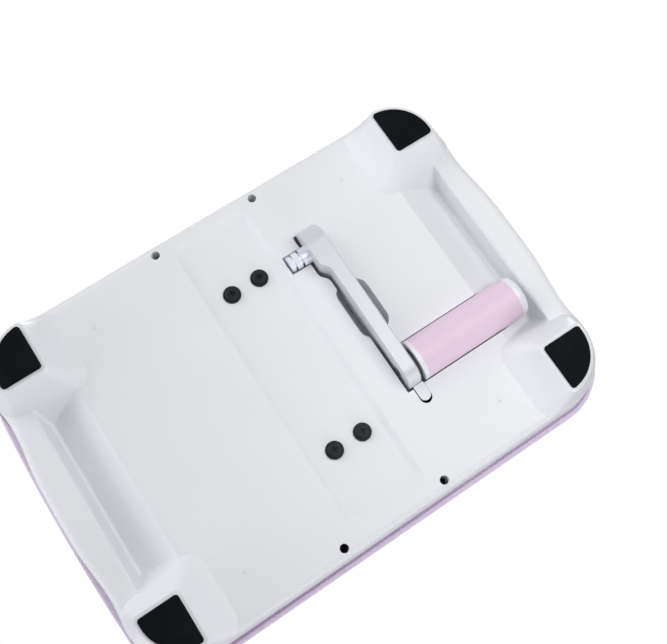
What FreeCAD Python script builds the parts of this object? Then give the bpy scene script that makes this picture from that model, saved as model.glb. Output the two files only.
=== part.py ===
"""Manual die cutting machine, standing on its four rubber feet.

Frame: X runs along the feed path, Y runs along the rollers with the crank socket at -Y,
Z is up, and the origin lies on the table under the middle of the machine. Millimetres.
"""
import FreeCAD, Part
import math
import os

V = FreeCAD.Vector
AXIS_X = V(1, 0, 0)
AXIS_Y = V(0, 1, 0)
AXIS_Z = V(0, 0, 1)

# Base tray
tray_half_length = 205.8
tray_half_width = 140.9
tray_corner = 46.0
tray_lean = 2.5
shoulder_drop = 2.6
waist_drop = 4.2
waist_reach = 20.0
belly_z = 26.0
tray_side = 25.5
tray_wall = 3.0
tray_edge_round = 6.0

# Foot pods and pads
pad_end_gap = 19.7
pad_side_gap = 11.8
pad_length = 31.3
pad_width = 36.1
pad_arc = 31.5
pad_sweep = 80.0
pad_corner = 2.4
pad_thickness = 4.0
pad_proud = 2.4
pad_clearance = 0.15
pad_bevel = 0.5
pod_rim = 2.7
pod_run = 21.1
pod_corner = 12.0
pod_flare = 0.38
pod_flare_power = 4
pod_blend = 4.0
pod_tuck = 0.4

# Finger scoops at both ends
scoop_end_gap = 25.6
scoop_run = 32.0
scoop_draft = 3.7
scoop_depth = 22.0
scoop_pad_gap = 16.0
scoop_narrowing = 6.2
scoop_side_draft = 0.53
scoop_round = 2.0
scoop_lip = 3.5
scoop_lip_end = 0.3
scoop_lip_run_out = 15.0
scoop_overcut = 6.0

# Channel across the belly
channel_x = 1.0
channel_y = -2.0
channel_half = 34.0
channel_half_length = 130.0
channel_side_ramp = 7.0
channel_end_ramp = 11.0
channel_corner = 12.0
channel_floor_corner = 7.0
channel_depth = 2.6
channel_crease = 0.3

# Stowed crank
crank_radius = 114.5
hub_y = -68.1
hub_radius = 17.5
grip_end_radius = 15.6
arm_left = 61.0
arm_thickness = 11.0
boss_thickness = 5.6
boss_end_y = -54.0
boss_blend = 12.0
arm_chamfer = 1.2
recess_gap = 0.9
recess_left_gap = 2.8
seat_gap = 0.3
stub_length = 17.5
stub_radius = 7.25
stub_collar = 6.5
stub_neck = 2.0
stub_step_radius = 6.9
stub_step_length = 4.2
stub_groove_radius = 4.9
stub_groove = 1.7
stub_core_radius = 4.0
stub_flat = 5.2
stub_end_radius = 6.3
stub_end_gap = 1.5
stub_chamfer = 0.9
stub_screw_sink = 5.0
stub_screw_length = 8.0
stub_screw_head = 3.0
grip_radius = 16.6
grip_length = 86.8
collar_thickness = 3.3
spacer_radius = 12.0
spacer_thickness = 2.7
cap_length = 7.1
cap_round = 5.0
axle_radius = 4.0
axle_head_radius = 7.0
axle_head = 4.0
axle_stop = 12.0
axle_head_gap = 0.5
running_gap = 0.08
seat_fit = 0.04
trough_gap = 0.9
stub_pocket_gap = 0.75

# Finger wells beside the arm
well_depth = 15.0
well_fullness = 0.98
well_start = -33.5
well_end = 14.2
well_left_reach = 6.5
well_right_reach = 8.1

# Latch tongue
latch_width = 8.6
latch_slit = 0.9
latch_side_gap = 0.15
latch_arm_gap = 0.3
latch_end = 76.0
latch_end_gap = 2.2
latch_pad = 2.6
latch_leg = 2.2
latch_pivot_rise = 19.0
latch_barrel = 2.8
latch_pin_radius = 1.2
latch_ear = 2.4
latch_ear_gap = 0.5
latch_ear_half = 4.0
latch_offset = 1.5

# Deck cover
deck_overhang = 5.1
deck_rise = 23.0
deck_wall = 3.0
deck_lap = 1.5
deck_end_tuck = 1.5
deck_seam = 1.8
deck_seam_rise = 1.5
deck_top_round = 5.0
deck_rim_round = 2.0
deck_opening_gap = 4.0
deck_post_wall = 1.6

# Rollers and gears
roller_radius = 14.0
roller_half = 80.0
roller_proud = 1.0
roller_edge = 1.0
roller_end_reach = 3.5
roller_gap = 18.0
journal_radius = 8.0
sync_teeth = 23
sync_module = 2.0
pinion_teeth = 14
drive_teeth = 38
drive_module = 1.5
gear_width = 10.0
gear_backlash = 0.3
tooth_rise = 0.9
tooth_drop = 1.15
pressure_angle = math.radians(20.0)
key_size = 3.0
key_length = 8.0
ring_thickness = 1.2
ring_height = 2.5
ring_groove = 1.0
ring_slot = 1.5

# Side frames
frame_gap = 0.5
frame_thickness = 5.0
frame_foot_half = 28.0
frame_foot_reach = 22.5
frame_half = 36.0
frame_head_half = 24.0
frame_top_margin = 15.0
bush_wall = 3.0
bush_flange = 1.5
bush_flange_reach = 2.0
tie_x = 26.0
tie_drop = 5.0
tie_radius = 5.0
bolt_radius = 3.0
bolt_head_radius = 5.0
bolt_head = 4.0
bolt_grip = 14.0

# Drive shaft, gear plate and socket
shaft_radius = 6.0
gear_side_gap = 2.5
plate_gap = 3.0
plate_thickness = 5.0
plate_margin = 8.0
socket_radius = 12.0
socket_bore = 7.4
socket_broach = 7.15
socket_mouth = 8.0
socket_depth = 22.0
socket_flat_gap = 0.2
socket_proud = 1.5
socket_edge = 1.0
shaft_inner_reach = 4.5

# Frame screws and housing screws
frame_screw_x = 12.25
frame_screw_y = 70.8
frame_shift_x = 1.4
frame_shift_y = -1.8
frame_screw_radius = 2.5
frame_head_radius = 5.2
frame_head = 2.8
washer_radius = 6.94
washer_thickness = 1.2
recess_arm = 0.65
recess_reach = 2.4
recess_depth = 1.6
small_recess_reach = 1.6
small_recess_arm = 0.4
side_screw_x = 43.6
side_screw_inset = 10.0
side_hole_radius = 3.4
corner_screw_end = 35.1
corner_screw_inset = 31.0
screw_radius = 1.5
screw_gap = 0.3
screw_head_radius = 2.7
screw_head = 2.4
screw_bite = 9.0
boss_wall = 2.2
boss_floor = 7.5

# Tower cover
tower_half_x = 58.0
tower_half_y = 140.0
tower_lean = 4.0
tower_shoulder = 28.0
tower_end_round = 7.0
tower_wall = 3.0
tower_top_gap = 27.0
feed_half = 81.0
feed_margin = 5.0
feed_corner = 6.0
trim_half_x = 21.0
trim_half_y = 116.0
trim_corner = 9.0
trim_thickness = 1.6
trim_inset = 1.0
trim_gap = 0.1
trim_round = 0.5
bezel_flange = 2.0
bezel_radius = 19.0
bezel_hole_radius = 16.0
bezel_gap = 1.0
tower_screw_x = 50.0
tower_screw_y = 122.0
tower_boss_height = 16.0

# Worked out from the sizes above
seam_z = belly_z + tray_side - deck_lap
tray_top = belly_z + tray_side
deck_top = seam_z + deck_rise
tray_floor_top = belly_z + tray_wall
pad_right = tray_half_length - pad_end_gap
pad_left = pad_right - pad_length
pad_outer = tray_half_width - pad_side_gap
pad_inner = pad_outer - pad_width
pod_left = pad_left - pod_rim - pod_run
scoop_wall_x = tray_half_length - scoop_end_gap
scoop_half = pad_inner - scoop_pad_gap
channel_z = belly_z + channel_depth
side_screw_y = tray_half_width - side_screw_inset
corner_screw_x = tray_half_length - corner_screw_end
corner_screw_y = tray_half_width - corner_screw_inset
channel_top = channel_z + tray_wall
lower_axis = deck_top + roller_proud - roller_radius
upper_axis = lower_axis + 2 * roller_radius + roller_gap
pinion_pitch = drive_module * pinion_teeth / 2
drive_pitch = drive_module * drive_teeth / 2
drive_axis = upper_axis + pinion_pitch + drive_pitch
tower_top = drive_axis + tower_top_gap
frame_inner = roller_half + frame_gap
frame_outer = frame_inner + frame_thickness
gear_inner = frame_outer + gear_side_gap
gear_outer = gear_inner + gear_width
plate_inner = gear_outer + plate_gap
plate_outer = plate_inner + plate_thickness
tie_z = drive_axis - tie_drop
arm_right = arm_left + arm_thickness
boss_left = arm_left - boss_thickness
grip_y = hub_y + crank_radius
stub_left = boss_left - stub_length
collar_left = arm_right + spacer_thickness + seat_gap
sleeve_left = collar_left + collar_thickness
sleeve_right = sleeve_left + grip_length
cap_right = sleeve_right + cap_length
recess_left = arm_left - recess_left_gap
recess_right = arm_right + recess_gap
recess_boss_left = boss_left - recess_left_gap
recess_ceiling = belly_z + hub_radius + seat_gap
latch_x = (arm_left + arm_right) / 2 + latch_offset
latch_pivot_z = belly_z + latch_pivot_rise
latch_start = grip_y + grip_end_radius + latch_arm_gap
latch_leg_y = (latch_start + latch_end) / 2
socket_face = tower_half_y + bezel_flange + socket_proud


def box(x0, y0, z0, x1, y1, z1):
    return Part.makeBox(x1 - x0, y1 - y0, z1 - z0, V(x0, y0, z0))


def rod(axis, start, radius, length):
    return Part.makeCylinder(radius, length, start, axis)


def ring(axis, start, outer, inner, length):
    return rod(axis, start, outer, length).cut(rod(axis, start, inner, length))


def fuse(shapes):
    result = shapes[0]
    if len(shapes) > 1:
        result = result.multiFuse(shapes[1:])
    return result.removeSplitter()


def cut(shape, tools):
    return shape.cut(Part.makeCompound(tools)) if tools else shape


def prism(points, direction):
    wire = Part.makePolygon(points + [points[0]])
    return Part.Face(wire).extrude(direction)


def loft(wires):
    return Part.makeLoft(wires, True, True)


def both(x, y):
    return [(sx * x, sy * y) for sx in (-1, 1) for sy in (-1, 1)]


def mirrored(shape, normal):
    return shape.mirror(V(0, 0, 0), normal)


def arc(centre, radius, start, end, z):
    middle = (start + end) / 2
    points = [V(centre[0] + radius * math.cos(a), centre[1] + radius * math.sin(a), z)
              for a in (start, middle, end)]
    return Part.Arc(*points).toShape(), points[0], points[2]


def outline(grow, z, waisted=True, tuck=0.0):
    """Outline grown outwards: straight sides, corner arcs and bowed, softly waisted ends.

    A tuck draws both ends in."""
    half_y = tray_half_width + grow
    straight = tray_half_width - tray_corner
    half_x = tray_half_length - tuck
    corner_x = half_x - shoulder_drop - tray_corner
    waist_y = straight - waist_reach
    waist = waist_drop if waisted else shoulder_drop * (waist_y / straight) ** 2
    quarter = math.pi / 2
    half = [(waist_y / 2, waist / 4), (waist_y, waist),
            ((waist_y + straight) / 2, (waist + shoulder_drop) / 2), (straight, shoulder_drop)]
    drops = [(-y, drop) for y, drop in reversed(half)] + [(0.0, 0.0)] + half

    def end(side):
        curve = Part.BSplineCurve()
        curve.interpolate(Points=[V(side * (half_x - drop + grow), side * y, z)
                                  for y, drop in drops],
                          InitialTangent=V(0, side, 0), FinalTangent=V(0, side, 0))
        return curve.toShape()

    def corner(sx, sy, start):
        return arc((sx * corner_x, sy * straight), tray_corner + grow, start, start + quarter,
                   z)[0]

    top = Part.makeLine(V(corner_x, half_y, z), V(-corner_x, half_y, z))
    bottom = Part.makeLine(V(-corner_x, -half_y, z), V(corner_x, -half_y, z))
    return Part.Wire([end(1), corner(1, 1, 0.0), top, corner(-1, 1, quarter), end(-1),
                      corner(-1, -1, 2 * quarter), bottom, corner(1, -1, 3 * quarter)])


def outline_block(grow, z0, z1):
    return Part.Face(outline(grow, z0)).extrude(V(0, 0, z1 - z0))


def deck_block(grow, z0, z1):
    """Block with the deck's own outline: plain bowed ends, drawn in a little."""
    return Part.Face(outline(grow, z0, False, deck_end_tuck)).extrude(V(0, 0, z1 - z0))


def leaning_block(grow, z0, z1):
    """Block with the tray's leaning walls; the outline keeps its full size at the tray's top."""
    wires = [outline(grow - tray_lean * (tray_top - z) / tray_side, z) for z in (z0, z1)]
    return loft(wires)


def rounded_block(half_x, half_y, radius, z0, z1):
    block = box(-half_x, -half_y, z0, half_x, half_y, z1)
    upright = [e for e in block.Edges if abs(e.BoundBox.ZLength - (z1 - z0)) < 1e-6]
    return block.makeFillet(radius, upright)


def edges_at(shape, z):
    return [e for e in shape.Edges
            if abs(e.BoundBox.ZMin - z) < 1e-4 and abs(e.BoundBox.ZMax - z) < 1e-4]


def quarter_round(left, inner_left, inner_right, centre, radius, sweep, corner, z):
    """Quarter-round foot outline at +X +Y with its small corners rounded."""
    right = centre[0] + radius
    outer = centre[1] + radius
    quarter = math.pi / 2
    sweep_arc, sweep_start, sweep_end = arc(centre, radius, 0.0, sweep, z)

    def corner_arc(cx, cy, start):
        return arc((cx, cy), corner, start, start + quarter, z)[0]

    edges = [Part.makeLine(V(left + corner, inner_left, z), V(right - corner, inner_right, z)),
             corner_arc(right - corner, inner_right + corner, -quarter),
             Part.makeLine(V(right, inner_right + corner, z), sweep_start), sweep_arc,
             Part.makeLine(sweep_end, V(left + corner, outer, z)),
             corner_arc(left + corner, outer - corner, quarter),
             Part.makeLine(V(left, outer - corner, z), V(left, inner_left + corner, z)),
             corner_arc(left + corner, inner_left + corner, 2 * quarter)]
    return Part.Wire(edges)


def pad_outline(grow, z):
    centre = (pad_right - pad_arc, pad_outer - pad_arc)
    return quarter_round(pad_left - grow, pad_inner - grow, pad_inner - grow, centre,
                         pad_arc + grow, math.radians(pad_sweep), pad_corner + grow, z)


def scoop_edge(x):
    """Distance from the middle to the scoop's side, where the belly meets it."""
    return scoop_half - scoop_narrowing * (scoop_wall_x - x) / (scoop_wall_x - pod_left)


def pod_section(z, inset):
    """Foot pod outline at a height: from the pad's rim out to the belly and the tray wall."""
    share = (z - pad_proud) / (belly_z - pad_proud)
    top = belly_z + pod_blend
    wall_share = (z - pad_proud) / (top - pad_proud)
    corner = pad_corner + pod_rim / 2
    corner = corner + (pod_corner - corner) * share
    left = pad_left - pod_rim - pod_run * (share + pod_flare * (share ** pod_flare_power - share))
    rim_inner = pad_inner - pod_rim
    wall_radius = tray_corner - tray_lean * (tray_top - top) / tray_side - pod_tuck
    radius = pad_arc + pod_rim + (wall_radius - pad_arc - pod_rim) * wall_share
    start = (pad_right - pad_arc, pad_outer - pad_arc)
    end = (tray_half_length - shoulder_drop - tray_corner, tray_half_width - tray_corner)
    centre = (start[0] + (end[0] - start[0]) * wall_share,
              start[1] + (end[1] - start[1]) * wall_share)
    sweep = pad_sweep + (90.0 - pad_sweep) * wall_share

    def inner(x):
        return rim_inner + (scoop_edge(x) - rim_inner) * share

    right = centre[0] + radius
    return quarter_round(left + inset, inner(left + corner) + inset,
                         inner(right - corner) + inset, centre, radius - inset,
                         math.radians(sweep), corner, z)


def pod(inset, start):
    """Foot pod with softly curved flanks between a height and just above the belly."""
    top = belly_z + pod_blend
    steps = 5
    wires = [pod_section(start + (top - start) * i / steps, inset) for i in range(steps + 1)]
    return Part.makeLoft(wires, True, False)


def four_corners(shape):
    back = mirrored(shape, AXIS_X)
    return [shape, back, mirrored(shape, AXIS_Y), mirrored(back, AXIS_Y)]


def scoop_wedge(grow):
    """Wedge under the scoop: a sloping floor that meets the steep end wall."""
    slope = scoop_run / scoop_depth
    draft = scoop_draft / scoop_depth
    rise = scoop_depth + grow * (1 + math.hypot(1, slope)) / slope
    wall_x = scoop_wall_x + grow
    tip = V(wall_x - draft * rise, 0, belly_z + rise)
    low = belly_z - scoop_overcut
    floor_low = V(tip.x - slope * (rise + scoop_overcut), 0, low)
    wall_low = V(wall_x + draft * scoop_overcut, 0, low)
    reach = V(0, tray_half_width, 0)
    return prism([p - reach for p in (floor_low, tip, wall_low)], 2 * reach)


def scoop_block(grow):
    """Finger scoop at +X with its inner corners rounded."""
    low = belly_z - scoop_overcut
    top = belly_z + 2 * scoop_depth

    def section(z):
        spread = grow + scoop_side_draft * (belly_z - z)
        x0 = pod_left
        x1 = tray_half_length
        y0 = scoop_edge(x0) + spread
        y1 = scoop_edge(x1) + spread
        points = [V(x0, -y0, z), V(x1, -y1, z), V(x1, y1, z), V(x0, y0, z)]
        return Part.makePolygon(points + [points[0]])

    block = scoop_wedge(grow).common(loft([section(low), section(top)]))
    if grow > 0:
        return block
    deep = [e for e in block.Edges if e.BoundBox.ZMax > belly_z + 1]
    return block.makeFillet(scoop_round, deep)


def scoop_lip_cuts():
    """Rounding of the belly's edge above the end wall; it runs out before the corners."""
    low = belly_z - scoop_overcut

    def section(radius, y):
        left = scoop_wall_x - scoop_draft * radius / scoop_depth
        slant = radius * math.sqrt(0.5)
        points = [V(left, y, belly_z + radius), V(left - 1, y, belly_z + radius),
                  V(left - 1, y, low), V(left + radius, y, low), V(left + radius, y, belly_z)]
        lines = [Part.makeLine(a, b) for a, b in zip(points, points[1:])]
        middle = V(left + radius - slant, y, belly_z + radius - slant)
        curve = Part.Arc(points[-1], middle, points[0]).toShape()
        return Part.Wire(lines + [curve])

    full = scoop_half - scoop_lip_run_out
    end = scoop_half - scoop_round
    middle = Part.Face(section(scoop_lip, -full)).extrude(V(0, 2 * full, 0))
    run_out = loft([section(scoop_lip, full), section(scoop_lip_end, end)])
    right = [middle, run_out, mirrored(run_out, AXIS_Y)]
    return right + [mirrored(piece, AXIS_X) for piece in right]


def channel_outline(share, grow, z):
    """Rounded outline of the channel, from its crease on the belly to its floor."""
    half_x = channel_half - channel_side_ramp * share + grow
    half_y = channel_half_length - channel_end_ramp * share + grow
    corner = channel_corner + (channel_floor_corner - channel_corner) * share + grow
    quarter = math.pi / 2
    edges = []
    for i, (sx, sy) in enumerate(((1, 1), (-1, 1), (-1, -1), (1, -1))):
        centre = (channel_x + sx * (half_x - corner), channel_y + sy * (half_y - corner))
        turn, start, end = arc(centre, corner, i * quarter, (i + 1) * quarter, z)
        if edges:
            edges.append(Part.makeLine(last, start))
        else:
            first = start
        edges.append(turn)
        last = end
    return Part.Wire(edges + [Part.makeLine(last, first)])


def channel_block(lift):
    """Shallow channel across the belly with soft ramps all round; lift makes its wall."""
    edge_z = belly_z + (channel_crease if lift > 0 else -channel_crease)
    steps = 6
    wires = []
    for i in range(steps + 1):
        share = i / steps
        rise = share * share * (3 - 2 * share)
        wires.append(channel_outline(share, lift, edge_z + (channel_z + lift - edge_z) * rise))
    return Part.makeLoft(wires, True, False)


def crank_profile(left, boss, right, y0, y_step, y1, z0, z1):
    """Plan outline of the arm: the hub side is thicker and blends into the arm by an S."""
    bend = V(boss, y_step, z0)
    after = V(left, y_step + boss_blend, z0)
    poles = [bend, bend + V(0, boss_blend / 2, 0), after - V(0, boss_blend / 2, 0), after]
    curve = Part.BezierCurve()
    curve.setPoles(poles)
    edges = [Part.makeLine(V(boss, y0, z0), bend), curve.toShape(),
             Part.makeLine(after, V(left, y1, z0)),
             Part.makeLine(V(left, y1, z0), V(right, y1, z0)),
             Part.makeLine(V(right, y1, z0), V(right, y0, z0)),
             Part.makeLine(V(right, y0, z0), V(boss, y0, z0))]
    return Part.Face(Part.Wire(edges)).extrude(V(0, 0, z1 - z0))


def well(x0, x1, y0, y1, z1):
    """Finger well with rounded ends."""
    block = box(x0, y0, belly_z - 1, x1, y1, z1)
    upright = [e for e in block.Edges if e.BoundBox.XLength + e.BoundBox.YLength < 1e-4]
    return block.makeFillet((x1 - x0) / 2 * well_fullness, upright)


def recess_blocks(grow):
    """Crank recess: arm pocket, grip trough, stub pocket and finger wells."""
    low = belly_z - 1
    y_start = hub_y - hub_radius - seat_gap - grow
    y_end = grip_y + grip_end_radius + trough_gap + grow
    s_start = boss_end_y + recess_left_gap
    pocket = crank_profile(recess_left - grow, recess_boss_left - grow, recess_right + grow,
                           y_start, s_start, y_end, low, recess_ceiling + grow)
    trough = rod(AXIS_X, V(recess_left, grip_y, belly_z), grip_radius + trough_gap + grow,
                 cap_right + trough_gap - recess_left)
    reach = stub_length + stub_end_gap - recess_left_gap + grow
    stub = rod(AXIS_X, V(recess_boss_left - reach, hub_y, belly_z),
               stub_radius + stub_pocket_gap + grow, reach + 1)
    top = belly_z + well_depth + grow
    left_well = well(arm_left - well_left_reach - grow, recess_right, well_start - grow,
                     well_end + grow, top)
    right_well = well(recess_left, arm_right + well_right_reach + grow, well_start - grow,
                      well_end - seat_gap + grow, top)
    return [pocket, trough, stub, left_well, right_well]


def latch_slot():
    """Slit round the tongue, through the belly only and nearly closed at its right side."""
    x0 = latch_x - latch_width / 2 - latch_slit
    x1 = latch_x + latch_width / 2 + latch_side_gap
    end = latch_end + latch_end_gap
    radius = (x1 - x0) / 2
    start = grip_y + grip_end_radius
    block = box(x0, start, belly_z - 1, x1, end - radius, tray_floor_top + 1)
    tip = rod(AXIS_Z, V((x0 + x1) / 2, end - radius, belly_z - 1), radius, tray_wall + 2)
    return [block, tip]


def latch_ears():
    x0 = latch_x - latch_width / 2 - latch_ear_gap
    x1 = latch_x + latch_width / 2 + latch_ear_gap
    ears = []
    for start in (x0 - latch_ear, x1):
        ear = box(start, latch_leg_y - latch_ear_half, belly_z + 1, start + latch_ear,
                  latch_leg_y + latch_ear_half, latch_pivot_z + latch_ear_half)
        pin = rod(AXIS_X, V(start - 1, latch_leg_y, latch_pivot_z), latch_pin_radius,
                  latch_ear + 2)
        ears.append(ear.cut(pin))
    return ears


def tray_bosses():
    """Posts that take the housing screws, with their bottom ends open for the screw heads."""
    posts = []
    holes = []
    side_outer = side_hole_radius + boss_wall
    for x, y in both(side_screw_x, side_screw_y):
        posts.append(rod(AXIS_Z, V(x, y, belly_z + 1), side_outer, tray_side - 1))
        holes.append(rod(AXIS_Z, V(x, y, 0), side_hole_radius, tray_top - boss_floor))
        holes.append(rod(AXIS_Z, V(x, y, 0), screw_radius + screw_gap, tray_top + 1))
    for x, y in both(corner_screw_x, corner_screw_y):
        start = pad_proud + tray_wall
        posts.append(rod(AXIS_Z, V(x, y, start), side_outer, tray_top - start))
        holes.append(rod(AXIS_Z, V(x, y, pad_proud), side_hole_radius,
                         tray_top - boss_floor - pad_proud))
        holes.append(rod(AXIS_Z, V(x, y, pad_proud), screw_radius + screw_gap, tray_top))
    return posts, holes


def base_tray():
    slab = leaning_block(0.0, belly_z, tray_top)
    slab = slab.makeFillet(tray_edge_round, edges_at(slab, belly_z))
    pocket_top = pad_thickness
    pad_pocket = Part.Face(pad_outline(pad_clearance, pad_proud - 1)).extrude(
        V(0, 0, pocket_top - pad_proud + 1))
    scoops = [scoop_block(0.0), mirrored(scoop_block(0.0), AXIS_X)]
    scoop_walls = [scoop_block(tray_wall), mirrored(scoop_block(tray_wall), AXIS_X)]
    posts, holes = tray_bosses()
    hollow = leaning_block(-tray_wall, tray_floor_top, tray_top + 1)
    housings = fuse(recess_blocks(tray_wall) + [channel_block(tray_wall)] + posts[:4])
    above = box(-tray_half_length, -tray_half_width, belly_z, tray_half_length,
                tray_half_width, 2 * tray_top)
    tray = fuse([slab] + four_corners(pod(0.0, pad_proud)))
    tray = cut(tray, [hollow] + four_corners(pod(tray_wall, pad_thickness + tray_wall)))
    for piece in [fuse(scoop_walls).common(above), housings.common(slab)] + posts[4:]:
        tray = fuse([tray, piece])
    tray = fuse([tray] + latch_ears())
    frame_holes = [rod(AXIS_Z, V(x, y, belly_z), frame_screw_radius + screw_gap, tray_side)
                   for x, y in frame_screw_spots()]
    for tools in (scoops, scoop_lip_cuts(), [channel_block(0.0)], recess_blocks(0.0),
                  latch_slot(), four_corners(pad_pocket), holes + frame_holes):
        tray = cut(tray, tools)
    return tray


def foot_pads():
    pad = loft([pad_outline(-pad_bevel, 0.0), pad_outline(0.0, pad_bevel),
                pad_outline(0.0, pad_thickness)])
    names = ("foot_pad_back_right", "foot_pad_back_left", "foot_pad_front_right",
             "foot_pad_front_left")
    return dict(zip(names, four_corners(pad)))


def deck_cover():
    deck = deck_block(deck_overhang, seam_z, deck_top)
    deck = deck.makeFillet(deck_top_round, edges_at(deck, deck_top))
    deck = deck.makeFillet(deck_rim_round, edges_at(deck, seam_z))
    lap = outline_block(deck_seam, seam_z - 1, tray_top)
    groove = outline_block(deck_seam, tray_top - 1, tray_top + deck_seam_rise)
    groove = groove.cut(outline_block(0.0, tray_top - 1, tray_top + deck_seam_rise))
    ledge_top = tray_top + deck_wall
    mouth = outline_block(-tray_wall, tray_top - 1, ledge_top)
    hollow = deck_block(deck_overhang - deck_wall, ledge_top, deck_top - deck_wall)
    half = roller_radius + deck_opening_gap
    sheet_gap = box(-half, -frame_inner + 1, seam_z, half, frame_inner - 1, deck_top + 1)
    half = frame_half + deck_opening_gap
    gear_reach = plate_outer + deck_opening_gap
    gear_gaps = [box(-half, y0, seam_z, half, y1, deck_top + 1)
                 for y0, y1 in ((frame_inner - 1, gear_reach), (-gear_reach, 1 - frame_inner))]
    for tools in ([lap], [groove], [mouth, hollow, sheet_gap] + gear_gaps):
        deck = cut(deck, tools)
    spots = both(side_screw_x, side_screw_y) + both(corner_screw_x, corner_screw_y)
    height = deck_top - deck_wall - tray_top
    posts = [rod(AXIS_Z, V(x, y, tray_top), side_hole_radius + deck_post_wall, height + 1)
             for x, y in spots]
    deck = fuse([deck] + posts)
    pilots = [rod(AXIS_Z, V(x, y, tray_top - 1), screw_radius, screw_bite + 2)
              for x, y in spots]
    tower_holes = [rod(AXIS_Z, V(x, y, deck_top - deck_wall - 1), screw_radius + screw_gap,
                       deck_wall + 2) for x, y in both(tower_screw_x, tower_screw_y)]
    return cut(deck, pilots + tower_holes)


def tower_block(inset, z0):
    """Tower body between a height and its top: leaning sides, broad shoulders, rounded ends."""
    top = tower_top - inset
    half_y = tower_half_y - inset
    slope = tower_lean / (tower_top - deck_top)

    def half_x(z):
        return tower_half_x - inset - slope * (z - deck_top)

    points = [V(-half_x(z0), -half_y, z0), V(half_x(z0), -half_y, z0),
              V(half_x(top), -half_y, top), V(-half_x(top), -half_y, top)]
    block = prism(points, V(0, 2 * half_y, 0))
    shoulders = [e for e in edges_at(block, top) if e.BoundBox.XLength < 1e-4]
    block = block.makeFillet(tower_shoulder - inset, shoulders)
    ends = [e for e in block.Edges if e.BoundBox.YLength < 1e-4 and e.BoundBox.ZMax > z0 + 1e-4]
    return block.makeFillet(tower_end_round - inset, ends)


def feed_slot():
    slot_top = upper_axis - roller_radius + feed_margin
    reach = tower_half_x + 10
    slot = box(-reach, -feed_half, deck_top - 1, reach, feed_half, slot_top)
    corners = [e for e in edges_at(slot, slot_top) if e.BoundBox.YLength < 1e-4]
    return slot.makeFillet(feed_corner, corners)


def tower_cover():
    shell = tower_block(0.0, deck_top)
    hollow = tower_block(tower_wall, deck_top - 1)
    bezel_hole = rod(AXIS_Y, V(0, -tower_half_y - 1, drive_axis), bezel_hole_radius,
                     tower_wall + 2)
    trim_pocket = rounded_block(trim_half_x, trim_half_y, trim_corner, tower_top - trim_inset,
                                tower_top + 1)
    shell = cut(shell, [hollow, feed_slot(), bezel_hole, trim_pocket])
    posts = []
    rib = tower_wall / 2
    for x, y in both(tower_screw_x, tower_screw_y):
        wall = math.copysign(tower_half_x - tower_wall / 2, x)
        posts.append(rod(AXIS_Z, V(x, y, deck_top), screw_radius + tower_wall,
                         tower_boss_height))
        posts.append(box(min(x, wall), y - rib, deck_top, max(x, wall), y + rib,
                         deck_top + tower_boss_height))
    shell = fuse([shell] + posts)
    pilots = [rod(AXIS_Z, V(x, y, deck_top - 1), screw_radius, screw_bite + 1)
              for x, y in both(tower_screw_x, tower_screw_y)]
    return cut(shell, pilots)


def top_trim():
    bottom = tower_top - trim_inset
    plate = rounded_block(trim_half_x - trim_gap, trim_half_y - trim_gap,
                          trim_corner - trim_gap, bottom,
                          bottom + trim_thickness)
    return plate.makeFillet(trim_round, edges_at(plate, bottom + trim_thickness))


def socket_bezel():
    bore = socket_radius + bezel_gap
    flange = ring(AXIS_Y, V(0, -tower_half_y - bezel_flange, drive_axis), bezel_radius, bore,
                  bezel_flange)
    spigot = ring(AXIS_Y, V(0, -tower_half_y, drive_axis), bezel_hole_radius - trim_gap, bore,
                  tower_wall)
    return fuse([flange, spigot])


def side_frame(side):
    """Upright plate with an inward foot; side is +1 for the idle side, -1 for the drive side."""
    top = drive_axis + frame_top_margin
    shoulder = seam_z + frame_half - frame_foot_half
    head = top - frame_half + frame_head_half
    points = [V(-frame_foot_half, 0, channel_top), V(frame_foot_half, 0, channel_top),
              V(frame_foot_half, 0, seam_z), V(frame_half, 0, shoulder),
              V(frame_half, 0, head), V(frame_head_half, 0, top),
              V(-frame_head_half, 0, top), V(-frame_half, 0, head),
              V(-frame_half, 0, shoulder), V(-frame_foot_half, 0, seam_z)]
    plate = prism([p + V(0, frame_inner, 0) for p in points], V(0, frame_thickness, 0))
    foot = box(-frame_foot_half, frame_inner - frame_foot_reach, channel_top, frame_foot_half,
               frame_inner + 1, channel_top + frame_thickness)
    frame = fuse([plate, foot])
    bores = [rod(AXIS_Y, V(0, frame_inner - 1, z), journal_radius + bush_wall,
                 frame_thickness + 2) for z in (lower_axis, upper_axis)]
    if side < 0:
        bores.append(rod(AXIS_Y, V(0, frame_inner - 1, drive_axis), shaft_radius + bush_wall,
                         frame_thickness + 2))
    bores += [rod(AXIS_Y, V(x, frame_inner - 1, tie_z), bolt_radius, frame_thickness + 2)
              for x in (-tie_x, tie_x)]
    bores += [rod(AXIS_Z, V(x, side * y, channel_top - 1), frame_screw_radius,
                  frame_thickness + 2) for x, y in frame_screw_spots() if side * y > 0]
    frame = cut(frame, bores)
    return frame if side > 0 else mirrored(frame, AXIS_Y)


def bush(z, radius, side, inner):
    """Flanged bush in a plate whose inner face lies at the given distance."""
    outer = radius + bush_wall
    body = rod(AXIS_Y, V(0, inner, z), outer, frame_thickness)
    flange = rod(AXIS_Y, V(0, inner + frame_thickness, z), outer + bush_flange_reach,
                 bush_flange)
    bore = rod(AXIS_Y, V(0, inner - 1, z), radius + running_gap,
               frame_thickness + bush_flange + 2)
    piece = cut(fuse([body, flange]), [bore])
    return piece if side > 0 else mirrored(piece, AXIS_Y)


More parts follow.
